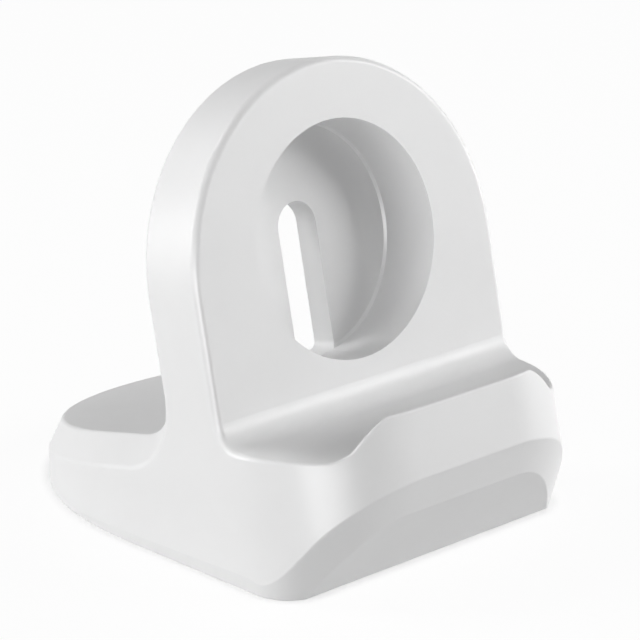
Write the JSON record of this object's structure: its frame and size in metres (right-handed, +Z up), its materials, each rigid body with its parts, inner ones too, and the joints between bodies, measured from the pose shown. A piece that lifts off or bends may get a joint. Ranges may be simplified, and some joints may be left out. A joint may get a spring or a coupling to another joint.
{
  "type": "smartwatch charging dock",
  "caption": "Moulded smartwatch charging dock: upright arched plate leaning back on a low foot, with a round charger recess, a cable slot and a trough behind a front lip.",
  "frame": {"origin": "centre of the bounding box, on the plane that the foot stands on", "axes": "+Z up, +Y to the back, +X to the right seen from the front; the plate's face and the recess look towards -Y"},
  "size_m": [0.047, 0.065, 0.0553],
  "materials": {
    "silicone": "satin"
  },
  "bodies": {
    "root": {"stand_body": "silicone"}
  },
  "joints": []
}
